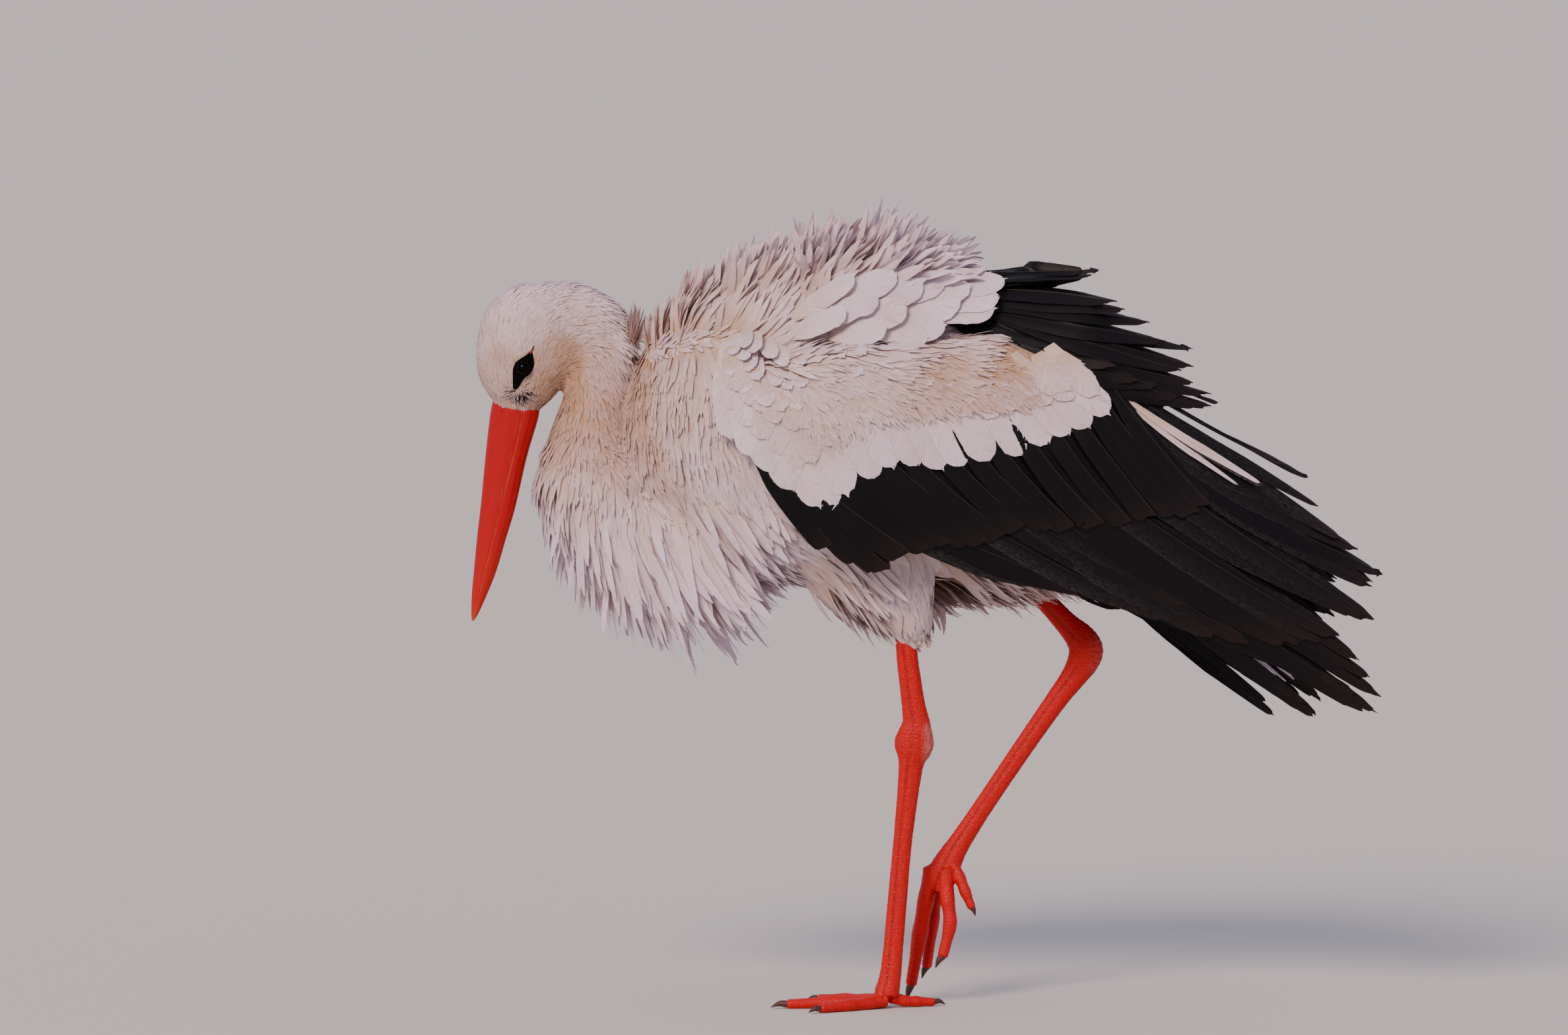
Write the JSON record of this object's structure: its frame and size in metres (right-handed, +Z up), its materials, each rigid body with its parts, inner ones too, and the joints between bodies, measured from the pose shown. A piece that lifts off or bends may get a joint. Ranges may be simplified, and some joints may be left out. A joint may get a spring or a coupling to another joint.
{
  "type": "white stork model",
  "caption": "Life-size still model of a white stork pacing with its head lowered, bill pointing down, ruffled white plumage, black flight feathers and long red legs, one foot lifted.",
  "frame": {"origin": "on the floor under the standing left foot's joint", "axes": "-X the way the bird faces, -Y its left side, +Z up"},
  "size_m": [0.748, 0.225, 0.6521],
  "materials": {
    "white_feather": "soft white contour feathers, faintly cream at the roots, ruffled",
    "cream_feather": "white feathers stained cream and tan",
    "black_feather": "black flight feathers with a faint purple-brown gloss",
    "leg_skin": "vivid red scaly skin, half gloss, pale flecks between the scales",
    "bill_horn": "smooth red horn with fine lengthwise streaks, orange at the tip",
    "claw_horn": "dark reddish-brown horn",
    "eye": "wet dark eye"
  },
  "bodies": {
    "root": {"bill_upper": "bill_horn", "bill_lower": "bill_horn", "eye_left": "eye", "eye_right": "eye", "head": "white_feather", "neck_upper": "cream_feather", "neck_lower": "cream_feather", "wing_left_scapulars": "black_feather", "wing_right_scapulars": "black_feather", "wing_left_coverts": "cream_feather", "wing_right_coverts": "cream_feather", "wing_left_greater_coverts": "black_feather", "wing_right_greater_coverts": "black_feather", "wing_left_secondaries": "black_feather", "wing_right_secondaries": "black_feather", "wing_left_primaries": "black_feather", "wing_right_primaries": "black_feather", "mantle": "white_feather", "trunk": "white_feather", "ruff": "white_feather", "tail": "white_feather", "thigh_left": "white_feather", "tibia_left": "leg_skin", "tarsus_left": "leg_skin", "foot_left": "leg_skin", "toe_left_inner": "leg_skin", "claw_left_inner": "claw_horn", "toe_left_middle": "leg_skin", "claw_left_middle": "claw_horn", "toe_left_outer": "leg_skin", "claw_left_outer": "claw_horn", "toe_left_hind": "leg_skin", "claw_left_hind": "claw_horn", "thigh_right": "white_feather", "tibia_right": "leg_skin", "tarsus_right": "leg_skin", "foot_right": "leg_skin", "toe_right_inner": "leg_skin", "claw_right_inner": "claw_horn", "toe_right_middle": "leg_skin", "claw_right_middle": "claw_horn", "toe_right_outer": "leg_skin", "claw_right_outer": "claw_horn", "toe_right_hind": "leg_skin", "claw_right_hind": "claw_horn"}
  },
  "joints": []
}
